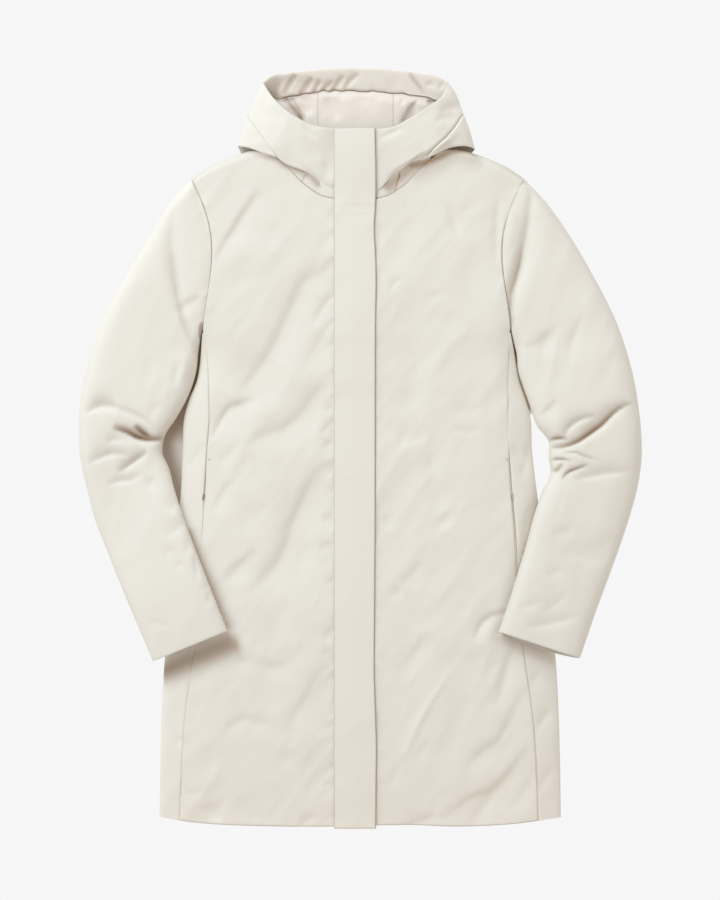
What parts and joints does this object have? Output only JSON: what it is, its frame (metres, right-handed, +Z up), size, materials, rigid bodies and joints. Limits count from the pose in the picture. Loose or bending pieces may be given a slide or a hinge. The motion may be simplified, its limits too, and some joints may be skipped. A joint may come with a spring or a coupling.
{
  "type": "softshell jacket",
  "caption": "Hooded thigh-length softshell coat laid flat on its back, with a storm flap over the front zip and sleeves folded over the body.",
  "frame": {"origin": "on the surface the coat lies on, under the middle of its outline", "axes": "+X towards the wearer's left sleeve, +Y along the coat towards the hood, +Z up from the surface"},
  "size_m": [0.732, 0.9864, 0.044],
  "materials": {
    "shell": "matte",
    "lining": "satin",
    "zip_tape": "matte",
    "trim": "matte"
  },
  "bodies": {
    "root": {"back": "shell", "side_right": "shell", "side_left": "shell", "front_right": "shell", "front_left": "shell", "sleeve_right": "shell", "sleeve_left": "shell", "pocket_zip_right": "zip_tape", "pocket_zip_left": "zip_tape", "pocket_loop_right": "trim", "pocket_loop_left": "trim", "collar_right": "shell", "collar_left": "shell", "hood_front_right": "shell", "hood_front_left": "shell", "hood_side_right": "shell", "hood_side_left": "shell", "zip_front": "zip_tape", "placket_lower": "shell", "placket_upper": "shell", "hood_back": "shell", "hood_facing": "shell", "hood_lining_right": "lining", "hood_lining_centre": "lining", "hood_lining_left": "lining"}
  },
  "joints": []
}
